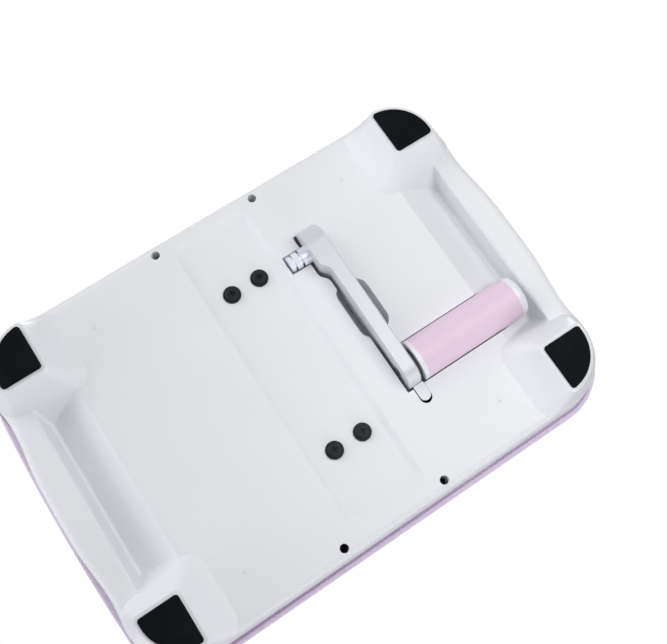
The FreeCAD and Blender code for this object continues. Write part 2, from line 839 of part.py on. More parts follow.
def plate_bush():
    outer = shaft_radius + bush_wall
    body = rod(AXIS_Y, V(0, -plate_outer, drive_axis), outer, plate_thickness)
    flange = rod(AXIS_Y, V(0, -plate_inner, drive_axis), outer + bush_flange_reach, bush_flange)
    bore = rod(AXIS_Y, V(0, -plate_outer - 1, drive_axis), shaft_radius + running_gap,
               plate_thickness + bush_flange + 2)
    return cut(fuse([body, flange]), [bore])


def gear_profile(teeth, module, z, turn):
    """Involute tooth outline in the XZ plane, centred at height z."""
    pitch = module * teeth / 2
    base = pitch * math.cos(pressure_angle)
    tip = pitch + tooth_rise * module
    root = pitch - tooth_drop * module
    half_tooth = math.pi / (2 * teeth) - gear_backlash / (2 * pitch)

    def involute(radius):
        slope = math.acos(min(1.0, base / radius))
        return math.tan(slope) - slope

    start = max(base, root)
    steps = 5
    flank = []
    for i in range(steps):
        radius = start + (tip - start) * i / (steps - 1)
        angle = half_tooth + involute(pitch) - involute(radius)
        flank.append((radius, angle))
    if root < base:
        flank.insert(0, (root, flank[0][1]))
    points = []
    for tooth in range(teeth):
        centre = turn + 2 * math.pi * tooth / teeth
        for radius, angle in flank:
            points.append((radius, centre - angle))
        for radius, angle in reversed(flank):
            points.append((radius, centre + angle))
    return [V(r * math.cos(a), 0, z + r * math.sin(a)) for r, a in points]


def key_block(radius, z, y0, y1, up):
    """Space of a square key half sunk into the shaft, above or below the axis."""
    middle = z + up * radius
    half = key_size / 2
    return box(-half, y0, middle - half, half, y1, middle + half)


def gear(teeth, module, z, turn, y0, bore, key_up):
    points = gear_profile(teeth, module, z, turn)
    wheel = prism([p + V(0, y0, 0) for p in points], V(0, gear_width, 0))
    hole = rod(AXIS_Y, V(0, y0 - 1, z), bore, gear_width + 2)
    slot = key_block(bore, z, y0 - 1, y0 + gear_width + 1, key_up)
    return cut(wheel, [hole, slot])


def ring_cut(z, radius, y):
    """Groove that a retaining ring sits in."""
    return ring(AXIS_Y, V(0, y, z), radius + 2, radius - ring_groove, ring_thickness)


def retaining_ring(z, radius, y):
    body = ring(AXIS_Y, V(0, y, z), radius - ring_groove + ring_height, radius - ring_groove,
                ring_thickness)
    gap = box(-ring_slot, y - 1, z - 2 * radius, ring_slot, y + ring_thickness + 1, z)
    return body.cut(gap)


def key_span(y0):
    middle = y0 + gear_width / 2
    return middle - key_length / 2, middle + key_length / 2


def roller(z, drive_end, idle_end, key_spots, ring_spots):
    barrel = rod(AXIS_Y, V(0, -roller_half, z), roller_radius, 2 * roller_half)
    barrel = barrel.makeFillet(roller_edge, [e for e in barrel.Edges if e.Closed and
                                             abs(e.BoundBox.YLength) < 1e-6])
    journal = rod(AXIS_Y, V(0, drive_end, z), journal_radius, idle_end - drive_end)
    piece = fuse([barrel, journal])
    tools = [key_block(journal_radius, z, a, b, 1) for a, b in key_spots]
    tools += [ring_cut(z, journal_radius, y) for y in ring_spots]
    return cut(piece, tools)


def drive_shaft():
    inner_end = -frame_inner + shaft_inner_reach
    barrel_start = -plate_outer - seat_gap
    shaft = rod(AXIS_Y, V(0, barrel_start, drive_axis), shaft_radius, inner_end - barrel_start)
    barrel = rod(AXIS_Y, V(0, -socket_face, drive_axis), socket_radius,
                 barrel_start + socket_face)
    barrel = barrel.makeChamfer(socket_edge, [e for e in barrel.Edges if e.Closed and
                                              abs(e.BoundBox.YMin + socket_face) < 1e-6])
    piece = fuse([shaft, barrel])
    mouth = rod(AXIS_Y, V(0, -socket_face - 1, drive_axis), socket_bore, socket_mouth + 1)
    flat = stub_flat + socket_flat_gap
    broach = rod(AXIS_Y, V(0, -socket_face, drive_axis), socket_broach, socket_depth)
    broach = broach.common(box(-flat, -socket_face, drive_axis - socket_radius, flat,
                               socket_depth - socket_face, drive_axis + socket_radius))
    a, b = key_span(-gear_outer)
    tools = [mouth, broach, key_block(shaft_radius, drive_axis, a, b, 1),
             ring_cut(drive_axis, shaft_radius, shaft_ring_y())]
    return cut(piece, tools)


def shaft_ring_y():
    return -frame_inner + seat_gap


def tie_bars():
    bars = {}
    for name, x in (("tie_bar_left", -tie_x), ("tie_bar_right", tie_x)):
        bar = rod(AXIS_Y, V(x, -frame_inner, tie_z), tie_radius, 2 * frame_inner)
        ends = [rod(AXIS_Y, V(x, frame_inner - bolt_grip, tie_z), bolt_radius, bolt_grip + 1),
                rod(AXIS_Y, V(x, -frame_inner - 1, tie_z), bolt_radius, bolt_grip + 1)]
        bars[name] = cut(bar, ends)
    return bars


def bolt(x, z, head_y, end_y):
    """Hexagon bolt along Y from its head face to its end."""
    direction = 1 if end_y > head_y else -1
    shank = rod(V(0, direction, 0), V(x, head_y, z), bolt_radius - seat_fit,
                abs(end_y - head_y))
    points = [V(x + bolt_head_radius * math.cos(math.radians(60 * i)), head_y,
                z + bolt_head_radius * math.sin(math.radians(60 * i))) for i in range(6)]
    head = prism(points, V(0, -direction * bolt_head, 0))
    return fuse([head, shank])


def tie_bolts():
    idle = [bolt(x, tie_z, frame_outer, frame_inner - bolt_grip + 1) for x in (-tie_x, tie_x)]
    drive = [bolt(x, tie_z, -plate_outer, -frame_inner + bolt_grip - 1)
             for x in (-tie_x, tie_x)]
    return Part.makeCompound(idle), Part.makeCompound(drive)


def gear_plate():
    top = drive_axis + frame_top_margin - plate_margin / 4
    side = tie_x + plate_margin
    low = tie_z - plate_margin
    shoulder = tie_z + plate_margin
    points = [V(-side, -plate_outer, low), V(side, -plate_outer, low),
              V(side, -plate_outer, shoulder), V(socket_radius, -plate_outer, top),
              V(-socket_radius, -plate_outer, top), V(-side, -plate_outer, shoulder)]
    plate = prism(points, V(0, plate_thickness, 0))
    holes = [rod(AXIS_Y, V(x, -plate_outer - 1, tie_z), bolt_radius, plate_thickness + 2)
             for x in (-tie_x, tie_x)]
    holes.append(rod(AXIS_Y, V(0, -plate_outer - 1, drive_axis), shaft_radius + bush_wall,
                     plate_thickness + 2))
    return cut(plate, holes)


def gear_plate_posts():
    posts = [ring(AXIS_Y, V(x, -plate_inner, tie_z), tie_radius, bolt_radius,
                  plate_inner - frame_outer) for x in (-tie_x, tie_x)]
    return Part.makeCompound(posts)


def frame_screw_spots():
    return [(frame_shift_x + x, frame_shift_y + y) for x, y in both(frame_screw_x, frame_screw_y)]


def cross_recess(x, y, z, reach, arm, depth):
    """Cross drive in a screw head whose face lies at height z and looks down."""
    return fuse([box(x - reach, y - arm, z - 1, x + reach, y + arm, z + depth),
                 box(x - arm, y - reach, z - 1, x + arm, y + reach, z + depth)])


def frame_screws():
    screws = []
    seat = channel_z - washer_thickness
    for x, y in frame_screw_spots():
        head = rod(AXIS_Z, V(x, y, seat - frame_head), frame_head_radius, frame_head)
        head = head.makeFillet(frame_head / 2, edges_at(head, seat - frame_head))
        shank = rod(AXIS_Z, V(x, y, seat), frame_screw_radius,
                    channel_top + frame_thickness - seat)
        recess = cross_recess(x, y, seat - frame_head, recess_reach, recess_arm, recess_depth)
        screws.append(fuse([head, shank]).cut(recess))
    return Part.makeCompound(screws)


def frame_washers():
    washers = []
    for x, y in frame_screw_spots():
        washer = ring(AXIS_Z, V(x, y, channel_z - washer_thickness), washer_radius,
                      frame_screw_radius, washer_thickness)
        washers.append(washer)
    return Part.makeCompound(washers)


def small_screws(spots, seat):
    """Small screws whose heads look down and seat at the given height."""
    screws = []
    for x, y in spots:
        face = seat - screw_head
        head = rod(AXIS_Z, V(x, y, face), screw_head_radius, screw_head)
        shank = rod(AXIS_Z, V(x, y, seat), screw_radius, boss_floor + screw_bite)
        recess = cross_recess(x, y, face, small_recess_reach, small_recess_arm,
                              screw_head / 2)
        screws.append(fuse([head, shank]).cut(recess))
    return Part.makeCompound(screws)


def tower_screws():
    screws = []
    seat = deck_top - deck_wall
    for x, y in both(tower_screw_x, tower_screw_y):
        head = rod(AXIS_Z, V(x, y, seat - screw_head), screw_head_radius, screw_head)
        shank = rod(AXIS_Z, V(x, y, seat), screw_radius, deck_wall + screw_bite - 1)
        screws.append(fuse([head, shank]))
    return Part.makeCompound(screws)


def crank_arm():
    reach = hub_radius + 1
    plan = crank_profile(arm_left, boss_left, arm_right, hub_y - hub_radius - 1, boss_end_y,
                         grip_y + grip_end_radius + 1, belly_z - reach, belly_z + reach)
    lean = math.asin((hub_radius - grip_end_radius) / crank_radius)
    hub_dir = V(0, math.sin(lean), math.cos(lean))
    mirror_dir = V(0, math.sin(lean), -math.cos(lean))
    hub_centre = V(boss_left - 1, hub_y, belly_z)
    grip_centre = V(boss_left - 1, grip_y, belly_z)
    web = prism([hub_centre + hub_dir * hub_radius, grip_centre + hub_dir * grip_end_radius,
                 grip_centre + mirror_dir * grip_end_radius,
                 hub_centre + mirror_dir * hub_radius], V(arm_right - boss_left + 2, 0, 0))
    length = arm_right - boss_left + 2
    side = fuse([web, rod(AXIS_X, hub_centre, hub_radius, length),
                 rod(AXIS_X, grip_centre, grip_end_radius, length)])
    arm = plan.common(side)
    right_edges = [e for e in arm.Edges if abs(e.BoundBox.XMin - arm_right) < 1e-4
                   and abs(e.BoundBox.XMax - arm_right) < 1e-4]
    arm = arm.makeChamfer(arm_chamfer, right_edges)
    axle_hole = rod(AXIS_X, V(arm_left - 1, grip_y, belly_z), axle_radius + seat_fit,
                    arm_thickness + 2)
    stub_hole = rod(AXIS_X, V(boss_left - 1, hub_y, belly_z), stub_core_radius + seat_fit,
                    arm_right - boss_left + 2)
    return cut(arm, [axle_hole, stub_hole])


def stub_step(x0, x1, radius):
    return rod(AXIS_X, V(x0, hub_y, belly_z), radius, x1 - x0)


def crank_stub():
    """Stepped stub with two flats; it fits the drive shaft's socket."""
    collar_end = boss_left - stub_collar
    neck_end = collar_end - stub_neck
    step_end = neck_end - stub_step_length
    groove_end = step_end - stub_groove
    tip = stub_step(stub_left, groove_end, stub_end_radius)
    tip = tip.makeChamfer(stub_chamfer, [e for e in tip.Edges if e.Closed and
                                         abs(e.BoundBox.XMax - stub_left) < 1e-4])
    core_end = arm_right - stub_screw_sink
    steps = [tip, stub_step(groove_end, step_end, stub_groove_radius),
             stub_step(step_end, neck_end, stub_step_radius),
             stub_step(neck_end, collar_end, stub_groove_radius),
             stub_step(collar_end, boss_left, stub_radius),
             stub_step(boss_left, core_end, stub_core_radius)]
    stub = fuse(steps)
    far = 2 * stub_radius
    flats = [box(stub_left - 1, hub_y - far, belly_z + stub_flat, collar_end, hub_y + far,
                 belly_z + far),
             box(stub_left - 1, hub_y - far, belly_z - far, collar_end, hub_y + far,
                 belly_z - stub_flat)]
    tapped = rod(AXIS_X, V(core_end - stub_screw_length, hub_y, belly_z), screw_radius,
                 stub_screw_length + 1)
    return cut(stub, flats + [tapped])


def stub_screw():
    start = arm_right - stub_screw_sink
    head = rod(AXIS_X, V(start, hub_y, belly_z), stub_core_radius - seat_fit, stub_screw_head)
    shank = rod(AXIS_X, V(start - stub_screw_length, hub_y, belly_z), screw_radius - seat_fit,
                stub_screw_length)
    slot = box(start + stub_screw_head / 2, hub_y - stub_core_radius, belly_z - recess_arm,
               arm_right, hub_y + stub_core_radius, belly_z + recess_arm)
    return fuse([head, shank]).cut(slot)


def grip_axle():
    head_start = sleeve_right - axle_stop
    shank = rod(AXIS_X, V(arm_left, grip_y, belly_z), axle_radius, head_start - arm_left)
    head = rod(AXIS_X, V(head_start, grip_y, belly_z), axle_head_radius, axle_head)
    return fuse([shank, head])


def grip_spacer():
    return ring(AXIS_X, V(arm_right, grip_y, belly_z), spacer_radius, axle_radius + seat_fit,
                spacer_thickness)


def grip_collar():
    collar = ring(AXIS_X, V(collar_left, grip_y, belly_z), grip_radius,
                  axle_radius + running_gap, collar_thickness)
    rim = [e for e in collar.Edges if e.Closed and abs(e.BoundBox.XMax - collar_left) < 1e-4
           and e.BoundBox.YLength > grip_radius]
    return collar.makeFillet(0.8, rim)


def grip_sleeve():
    start = sleeve_right - axle_stop - seat_gap
    sleeve = ring(AXIS_X, V(sleeve_left, grip_y, belly_z), grip_radius,
                  axle_radius + running_gap, grip_length)
    counterbore = rod(AXIS_X, V(start, grip_y, belly_z), axle_head_radius + axle_head_gap,
                      sleeve_right - start + 1)
    return sleeve.cut(counterbore)


def grip_end_cap():
    cap = rod(AXIS_X, V(sleeve_right, grip_y, belly_z), grip_radius, cap_length)
    rim = [e for e in cap.Edges if e.Closed and abs(e.BoundBox.XMin - cap_right) < 1e-4]
    cap = cap.makeFillet(cap_round, rim)
    plug = rod(AXIS_X, V(sleeve_right - axle_stop + axle_head + 1, grip_y, belly_z),
               axle_head_radius + axle_head_gap - seat_fit, axle_stop - axle_head)
    return fuse([cap, plug])


def latch_tongue():
    x0 = latch_x - latch_width / 2
    x1 = latch_x + latch_width / 2
    radius = latch_width / 2
    pad = fuse([box(x0, latch_start, belly_z, x1, latch_end - radius, belly_z + latch_pad),
                rod(AXIS_Z, V(latch_x, latch_end - radius, belly_z), radius, latch_pad)])
    leg = box(x0, latch_leg_y - latch_leg / 2, belly_z + 1, x1, latch_leg_y + latch_leg / 2,
              latch_pivot_z)
    barrel = rod(AXIS_X, V(x0, latch_leg_y, latch_pivot_z), latch_barrel, latch_width)
    bore = rod(AXIS_X, V(x0 - 1, latch_leg_y, latch_pivot_z), latch_pin_radius + running_gap,
               latch_width + 2)
    return fuse([pad, leg, barrel]).cut(bore)


def latch_pin():
    half = latch_width / 2 + latch_ear_gap + latch_ear
    return rod(AXIS_X, V(latch_x - half, latch_leg_y, latch_pivot_z), latch_pin_radius,
               2 * half)


def gears_and_rollers():
    """Rollers with their gears; teeth are turned so that each pair meshes at rest."""
    half_step = math.pi / sync_teeth
    drive_step = math.pi / drive_teeth
    up = math.pi / 2
    sync_upper_turn = -up
    sync_lower_turn = up + half_step
    drive_turn = up
    pinion_turn = -up + math.pi / pinion_teeth
    idle_a, idle_b = key_span(gear_inner)
    drive_a, drive_b = key_span(-gear_outer)
    ring_out = gear_outer
    ring_in = -gear_outer - ring_thickness
    end = gear_outer + roller_end_reach
    bush_end = -frame_outer - bush_flange - ring_thickness - seat_gap
    nodes = {}
    nodes["upper_roller"] = roller(upper_axis, -end, end, [(idle_a, idle_b), (drive_a, drive_b)],
                                   [ring_out, ring_in])
    nodes["lower_roller"] = roller(lower_axis, bush_end - ring_thickness, end, [(idle_a, idle_b)],
                                   [ring_out, bush_end])
    nodes["sync_gear_upper"] = gear(sync_teeth, sync_module, upper_axis, sync_upper_turn,
                                    gear_inner, journal_radius, 1)
    nodes["sync_gear_lower"] = gear(sync_teeth, sync_module, lower_axis, sync_lower_turn,
                                    gear_inner, journal_radius, 1)
    nodes["drive_gear"] = gear(drive_teeth, drive_module, upper_axis, drive_turn, -gear_outer,
                               journal_radius, 1)
    nodes["drive_pinion"] = gear(pinion_teeth, drive_module, drive_axis, pinion_turn,
                                 -gear_outer, shaft_radius, 1)
    nodes["upper_roller_keys"] = Part.makeCompound(
        [key_block(journal_radius, upper_axis, idle_a, idle_b, 1),
         key_block(journal_radius, upper_axis, drive_a, drive_b, 1)])
    nodes["lower_roller_key"] = key_block(journal_radius, lower_axis, idle_a, idle_b, 1)
    nodes["pinion_key"] = key_block(shaft_radius, drive_axis, drive_a, drive_b, 1)
    nodes["upper_roller_rings"] = Part.makeCompound(
        [retaining_ring(upper_axis, journal_radius, y) for y in (ring_out, ring_in)])
    nodes["lower_roller_rings"] = Part.makeCompound(
        [retaining_ring(lower_axis, journal_radius, y) for y in (ring_out, bush_end)])
    nodes["drive_shaft_ring"] = retaining_ring(drive_axis, shaft_radius, shaft_ring_y())
    return nodes


def main():
    idle_bolts, drive_bolts = tie_bolts()
    screw_seat = tray_top - boss_floor
    nodes = {"base_tray": base_tray(), "deck_cover": deck_cover(), "tower_cover": tower_cover(),
             "top_trim": top_trim(), "socket_bezel": socket_bezel(),
             "side_frame_drive": side_frame(-1), "side_frame_idle": side_frame(1),
             "bush_lower_drive": bush(lower_axis, journal_radius, -1, frame_inner),
             "bush_lower_idle": bush(lower_axis, journal_radius, 1, frame_inner),
             "bush_upper_drive": bush(upper_axis, journal_radius, -1, frame_inner),
             "bush_upper_idle": bush(upper_axis, journal_radius, 1, frame_inner),
             "bush_shaft_inner": bush(drive_axis, shaft_radius, -1, frame_inner),
             "bush_shaft_outer": plate_bush(), "gear_plate": gear_plate(),
             "gear_plate_posts": gear_plate_posts(), "tie_bolts_idle": idle_bolts,
             "tie_bolts_drive": drive_bolts, "drive_shaft": drive_shaft(),
             "frame_screws": frame_screws(), "frame_washers": frame_washers(),
             "side_screws": small_screws(both(side_screw_x, side_screw_y), screw_seat),
             "corner_screws": small_screws(both(corner_screw_x, corner_screw_y), screw_seat),
             "tower_screws": tower_screws(), "crank_arm": crank_arm(),
             "crank_stub": crank_stub(), "stub_screw": stub_screw(), "grip_axle": grip_axle(),
             "grip_spacer": grip_spacer(), "grip_collar": grip_collar(),
             "grip_sleeve": grip_sleeve(), "grip_end_cap": grip_end_cap(),
             "latch_tongue": latch_tongue(), "latch_pin": latch_pin()}
    nodes.update(foot_pads())
    nodes.update(tie_bars())
    nodes.update(gears_and_rollers())
    os.makedirs("parts", exist_ok=True)
    for name, shape in sorted(nodes.items()):
        solids = len(shape.Solids)
        bounds = shape.BoundBox
        print(f"{name:22s} solids {solids} valid {shape.isValid()} volume {shape.Volume:10.0f} "
              f"x {bounds.XMin:7.1f} {bounds.XMax:7.1f} y {bounds.YMin:7.1f} {bounds.YMax:7.1f} "
              f"z {bounds.ZMin:6.1f} {bounds.ZMax:6.1f}")
        shape.exportStep(os.path.join("parts", name + ".step"))


main()
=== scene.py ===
import bmesh
import bpy
from bpy.props import FloatProperty, FloatVectorProperty, PointerProperty
from mathutils import Euler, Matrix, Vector


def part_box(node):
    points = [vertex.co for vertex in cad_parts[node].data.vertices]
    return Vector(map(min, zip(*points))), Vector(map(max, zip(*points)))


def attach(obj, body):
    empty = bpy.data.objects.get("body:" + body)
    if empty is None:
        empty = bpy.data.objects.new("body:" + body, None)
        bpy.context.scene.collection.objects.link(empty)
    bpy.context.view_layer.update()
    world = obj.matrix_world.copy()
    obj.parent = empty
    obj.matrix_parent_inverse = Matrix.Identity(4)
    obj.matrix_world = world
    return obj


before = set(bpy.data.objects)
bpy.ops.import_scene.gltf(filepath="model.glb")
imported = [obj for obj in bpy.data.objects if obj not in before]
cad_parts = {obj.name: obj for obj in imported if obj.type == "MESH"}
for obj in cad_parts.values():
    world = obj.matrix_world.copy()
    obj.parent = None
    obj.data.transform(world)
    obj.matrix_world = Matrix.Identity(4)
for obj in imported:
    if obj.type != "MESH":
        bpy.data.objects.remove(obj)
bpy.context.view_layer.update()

bl_info = {
    "name": "Die cutting machine dressing",
    "version": (1, 0, 0),
    "blender": (4, 5, 0),
    "location": "3D View > Sidebar > Die cutter",
    "description": "Finishes, small mould marks, light and camera for the die cutting machine",
    "category": "Object",
}

# Stage: metres, watts and plain factors

FLOOR_HALF = 2.4
FLOOR_DROP = 0.0002
FLOOR_GLOW = 0.3
LAMP_AIM = (0.0, 0.0, 0.06)
LOW_TINT = (1.0, 0.995, 1.03)
LAMPS = (
    ("lamp_below_key", (0.33, 0.09, -0.69), 0.7, 3.9, (1.0, 1.0, 1.0)),
    ("lamp_below_fill", (-0.545, -0.944, -0.678), 1.0, 6.2, (1.0, 0.995, 1.02)),
    ("lamp_below_side", (0.0, 1.287, -0.15), 1.0, 5.0, LOW_TINT),
    ("lamp_below_left", (-1.287, -0.25, -0.15), 1.0, 5.2, LOW_TINT),
    ("lamp_above_key", (0.70, -0.95, 1.35), 1.1, 22.0, (1.0, 1.0, 1.0)),
    ("lamp_above_fill", (-1.1, 0.8, 1.2), 1.4, 9.0, (1.0, 1.0, 1.0)),
)
SKY_TONE = (0.98, 0.985, 1.03)
SKY_STRENGTH = 0.67
POLE_STRENGTH = 0.02
BACKDROP_STRENGTH = 1.0
CAMERA_PLACE = (-0.0708, 0.1275, -0.6314)
CAMERA_TURN = (-2.87658, 0.02555, 0.58512)
CAMERA_LENS = 48.58


# Sizes and colours that a user would change

def colour(name, description, default):
    return FloatVectorProperty(name=name, description=description, default=default,
                               subtype="COLOR", size=3, min=0.0, max=1.0)


def length(name, description, default):
    return FloatProperty(name=name, description=description, default=default, min=0.0,
                         unit="LENGTH", subtype="DISTANCE", precision=5)


class DieCutterColours(bpy.types.PropertyGroup):
    """Colours of the machine's finishes."""
    tray: colour("Tray", "White moulded plastic of the tray and the tower", (0.80, 0.815, 0.835))
    deck: colour("Deck", "Lilac moulded plastic of the deck", (0.70, 0.585, 0.745))
    trim: colour("Trim", "Lilac plastic of the top plate and the bezel", (0.62, 0.50, 0.68))
    grip: colour("Grip", "Pink lilac plastic of the crank's grip", (0.775, 0.61, 0.735))
    cap: colour("Cap", "White gloss plastic of the grip's ends", (0.80, 0.815, 0.85))
    arm: colour("Arm", "Silver white paint of the crank's arm", (0.66, 0.675, 0.70))
    stub: colour("Stub", "Bright plated metal of the crank's drive stub", (0.80, 0.84, 0.90))
    rubber: colour("Rubber", "Black rubber of the foot pads", (0.0040, 0.0048, 0.0068))
    screw: colour("Screw", "Black finish of the frame screws", (0.010, 0.011, 0.012))
    paint: colour("Frame paint", "Grey paint of the roller frame", (0.085, 0.09, 0.10))
    steel: colour("Steel", "Bare steel of shafts, gears and rollers", (0.56, 0.57, 0.58))
    brass: colour("Bush", "Bronze of the bushes", (0.62, 0.42, 0.17))
    floor: colour("Floor", "Pale floor", (0.86, 0.86, 0.87))


class DieCutterSizes(bpy.types.PropertyGroup):
    """Sizes of the small mould marks and of the surface grain."""
    mark_radius: length("Gate mark radius", "Radius of a mould gate mark", 0.0016)
    mark_height: length("Gate mark height", "How far a gate mark stands proud", 0.00025)
    mark_x: length("Gate mark X", "Distance of the gate marks from the middle along X", 0.1113)
    mark_y: length("Gate mark Y", "Distance of the gate marks from the middle along Y", 0.1063)
    grain: length("Grain", "Size of the moulded plastic's grain", 0.0006)
    brush: length("Brush line", "Width of a turning line on bare steel", 0.0004)


def colours():
    return bpy.context.scene.die_cutter_colours


def sizes():
    return bpy.context.scene.die_cutter_sizes


# Shader maths

class Wire:
    """A shader socket whose arithmetic adds Math nodes."""

    def __init__(self, shader, socket):
        self.shader = shader
        self.socket = socket

    def sum(self, operation, first, second):
        return self.shader.node("ShaderNodeMath", {"operation": operation}, {0: first, 1: second})

    def __add__(self, other):
        return self.sum("ADD", self, other)

    def __mul__(self, other):
        return self.sum("MULTIPLY", self, other)

    def __sub__(self, other):
        return self.sum("SUBTRACT", self, other)

    def __gt__(self, other):
        return self.sum("GREATER_THAN", self, other)


class Shader:
    """A new material with a Principled shader, and one method that makes its other nodes."""

    def __init__(self, name):
        self.material = bpy.data.materials.new(name)
        self.material.use_nodes = True
        self.tree = self.material.node_tree
        self.main = self.tree.nodes["Principled BSDF"]

    def node(self, kind, settings=None, inputs=None, output=0):
        made = self.tree.nodes.new(kind)
        for key, value in (settings or {}).items():
            if key == "stops":
                ramp = made.color_ramp.elements
                for index, (place, tone) in enumerate(value):
                    stop = ramp[index] if index < 2 else ramp.new(place)
                    stop.position = place
                    stop.color = (*tone, 1.0)
            else:
                setattr(made, key, value)
        for key, value in (inputs or {}).items():
            self.put(made.inputs[key], value)
        return Wire(self, made.outputs[output])

    def put(self, socket, value):
        if isinstance(value, Wire):
            self.tree.links.new(value.socket, socket)
        else:
            socket.default_value = value

    def set(self, **values):
        for key, value in values.items():
            self.put(self.main.inputs[key.replace("_", " ")], value)

    def place(self, scale=(1.0, 1.0, 1.0)):
        spot = self.node("ShaderNodeTexCoord", output="Object")
        return self.node("ShaderNodeMapping", {}, {"Vector": spot, "Scale": scale})

    def noise(self, vector, scale, detail=2.0, rough=0.5):
        return self.node("ShaderNodeTexNoise", {}, {"Vector": vector, "Scale": scale,
                                                    "Detail": detail, "Roughness": rough})

    def blend(self, amount, first, second):
        def full(tone):
            return tone if isinstance(tone, Wire) else (*tone, 1.0)
        return self.node("ShaderNodeMix", {"data_type": "RGBA"},
                         {"Factor": amount, 6: full(first), 7: full(second)}, 2)

    def bump(self, height, distance, strength=1.0):
        return self.node("ShaderNodeBump", {}, {"Height": height, "Distance": distance,
                                                "Strength": strength})


def shade(tone, amount):
    return tuple(min(1.0, c * amount) for c in tone)


def moulded(name, tone, rough, grain_depth=0.00002, specular=0.4, coat=0.0):
    """Moulded plastic: eroded grain, faint flow clouds, slightly uneven gloss."""
    s = Shader(name)
    spot = s.place()
    cloud = s.noise(spot, 14.0, 3.0, 0.55)
    speck = s.noise(spot, 420.0, 2.0)
    grain = s.noise(spot, 1.0 / sizes().grain, 3.0, 0.6)
    tint = s.blend(cloud, shade(tone, 0.965), shade(tone, 1.03))
    s.set(Base_Color=s.blend(speck * 0.25, tint, shade(tone, 0.93)),
          Roughness=(cloud - 0.5) * 0.14 + (grain - 0.5) * 0.10 + rough,
          Normal=s.bump(grain, grain_depth, 0.6))
    s.set(Specular_IOR_Level=specular, Coat_Weight=coat, Coat_Roughness=0.25)
    return s.material


def soft_rubber(name, tone):
    """Black rubber: dull, with a fine stippled skin and dusty paler patches."""
    s = Shader(name)
    spot = s.place()
    dust = s.noise(spot, 55.0, 4.0, 0.6)
    stipple = s.noise(spot, 1900.0, 2.0)
    dusty = s.node("ShaderNodeValToRGB", {"stops": [(0.45, tone), (0.85, shade(tone, 1.9))]},
                   {"Fac": dust})
    s.set(Base_Color=dusty, Roughness=dust * 0.2 + 0.55, Normal=s.bump(stipple, 0.00006, 0.7))
    s.set(Specular_IOR_Level=0.06)
    return s.material


def painted(name, tone, rough, peel=0.00002, metallic=0.0, specular=0.4):
    """Sprayed paint: orange peel, small tone drift and a few matt specks."""
    s = Shader(name)
    spot = s.place()
    drift = s.noise(spot, 30.0, 3.0)
    skin = s.noise(spot, 650.0, 2.0)
    speck = s.noise(spot, 1500.0, 1.0) > 0.72
    tint = s.blend(drift, shade(tone, 0.96), shade(tone, 1.04))
    s.set(Base_Color=s.blend(speck * 0.35, tint, shade(tone, 0.8)),
          Roughness=drift * 0.12 + speck * 0.15 + rough, Normal=s.bump(skin, peel, 0.5))
    s.set(Metallic=metallic, Specular_IOR_Level=specular)
    return s.material


def bare_metal(name, tone, rough, along="Y"):
    """Turned or ground metal: fine lines across the piece's axis, clouded gloss."""
    s = Shader(name)
    squeeze = {"X": (1.0, 0.03, 0.03), "Y": (0.03, 1.0, 0.03), "Z": (0.03, 0.03, 1.0)}[along]
    lines = s.noise(s.place(squeeze), 1.0 / sizes().brush, 2.0, 0.7)
    cloud = s.noise(s.place(), 70.0, 3.0)
    tint = s.blend(lines * 0.6 + cloud * 0.4, shade(tone, 0.82), shade(tone, 1.12))
    s.set(Base_Color=tint, Roughness=lines * 0.14 + cloud * 0.10 + rough,
          Normal=s.bump(lines, 0.000012, 0.6))
    s.set(Metallic=1.0)
    return s.material


def dress(nodes, material):
    """Puts one finish on CAD nodes."""
    for name in nodes:
        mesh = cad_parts[name].data
        mesh.materials.clear()
        mesh.materials.append(material)


def names(prefix):
    found = [n for n in sorted(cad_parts) if n.startswith(prefix)]
    if not found:
        raise RuntimeError(f"no node starts with {prefix}")
    return found


# One operator for each piece or group of like pieces

class Step(bpy.types.Operator):
    bl_options = {"REGISTER", "UNDO"}

    def execute(self, context):
        self.make()
        return {"FINISHED"}


class DIECUT_OT_tray(Step):
    """White plastic of the tray, the tower cover and the latch tongue"""
    bl_idname = "diecut.tray"
    bl_label = "Tray and tower"

    def make(self):
        white = moulded("white_moulding", colours().tray, 0.44)
        dress(["base_tray", "tower_cover", "latch_tongue"], white)


class DIECUT_OT_deck(Step):
    """Lilac plastic of the deck, the top plate and the socket bezel"""
    bl_idname = "diecut.deck"
    bl_label = "Deck and trim"

    def make(self):
        dress(["deck_cover"], moulded("lilac_moulding", colours().deck, 0.42))
        trim = moulded("lilac_trim", colours().trim, 0.26, 0.000008, 0.5)
        dress(["top_trim", "socket_bezel"], trim)


class DIECUT_OT_pads(Step):
    """Black rubber of the foot pads"""
    bl_idname = "diecut.pads"
    bl_label = "Foot pads"

    def make(self):
        dress(names("foot_pad"), soft_rubber("pad_rubber", colours().rubber))


class DIECUT_OT_crank(Step):
    """Finishes of the stowed crank: arm, drive stub, axle and grip"""
    bl_idname = "diecut.crank"
    bl_label = "Crank"

    def make(self):
        dress(["crank_arm"], painted("arm_paint", colours().arm, 0.34, 0.000015, 0.15, 0.5))
        dress(["crank_stub"], painted("stub_plating", colours().stub, 0.30, 0.00001, 0.35,
                                      0.5))
        dress(["grip_sleeve"], moulded("grip_sleeve_skin", colours().grip, 0.46, 0.00001))
        white = moulded("grip_gloss", colours().cap, 0.30, 0.000006, 0.5)
        dress(["grip_collar", "grip_end_cap"], white)
        # The spacer's near-black tone is partly its own dark plastic and partly painted shade for
        # the shadowed gap between the arm and the grip's collar.
        dress(["grip_spacer"], moulded("spacer_dark_and_painted_gap_shade", (0.05, 0.05, 0.055), 0.5))
        dress(["grip_axle", "stub_screw"], bare_metal("axle_steel", colours().steel, 0.28, "X"))


